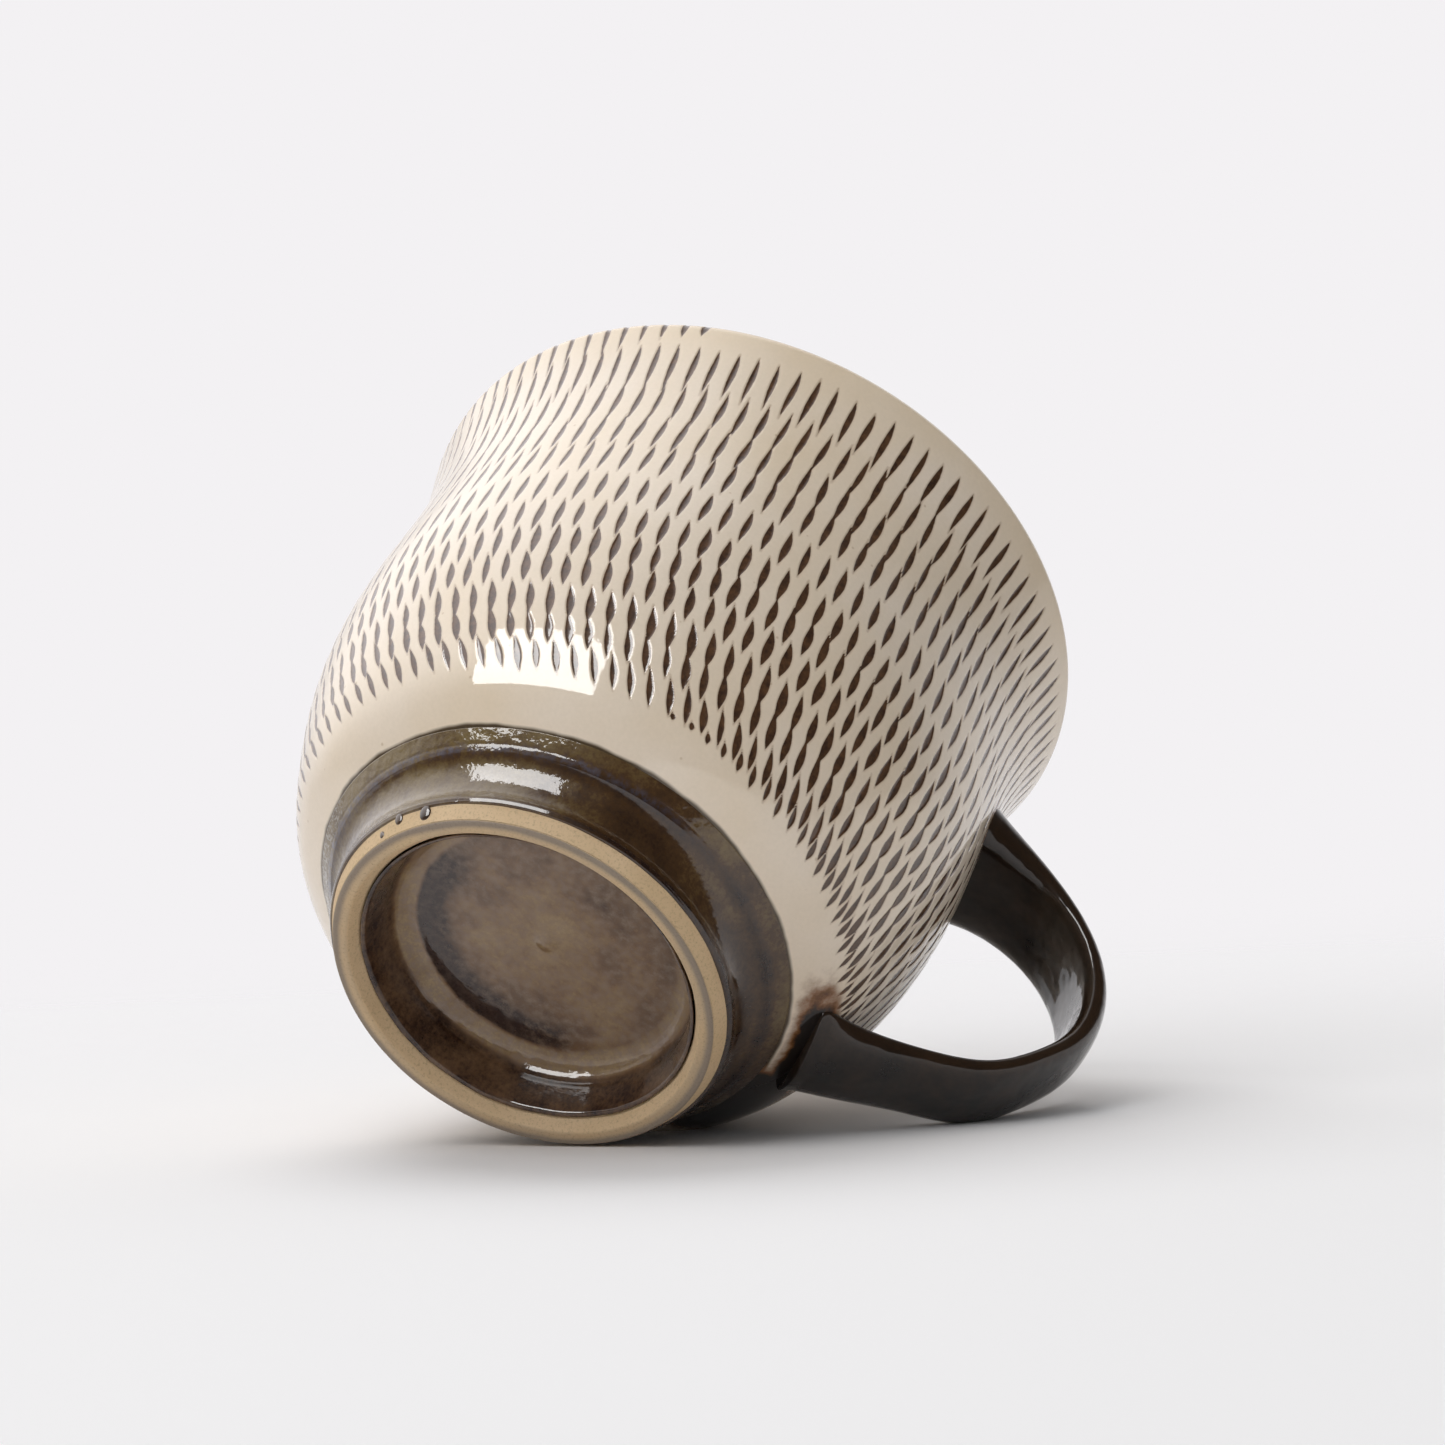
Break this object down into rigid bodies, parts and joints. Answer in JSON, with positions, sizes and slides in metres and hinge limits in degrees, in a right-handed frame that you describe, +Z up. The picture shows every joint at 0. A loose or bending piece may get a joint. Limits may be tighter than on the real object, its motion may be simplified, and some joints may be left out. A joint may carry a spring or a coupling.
{
  "type": "stoneware mug",
  "caption": "Glazed stoneware mug with a turned foot, flared rim and pulled strap handle, cream slip cut with rows of chatter marks.",
  "frame": {"origin": "middle of the foot ring's resting plane, on the cup's axis", "axes": "+Z up the cup's axis from the foot to the rim, +X from the axis out through the handle"},
  "size_m": [0.1121, 0.0898, 0.0826],
  "materials": {
    "bare_clay": "matt",
    "cream_slip": "gloss",
    "amber_brown_glaze": "gloss",
    "black_glaze": "gloss"
  },
  "bodies": {
    "root": {"thrown_cup": "bare_clay", "foot_ring": "bare_clay", "pulled_handle": "black_glaze", "slip_coat": "cream_slip", "foot_band_glaze": "amber_brown_glaze", "recess_glaze": "amber_brown_glaze", "liner_glaze": "cream_slip"}
  },
  "joints": []
}
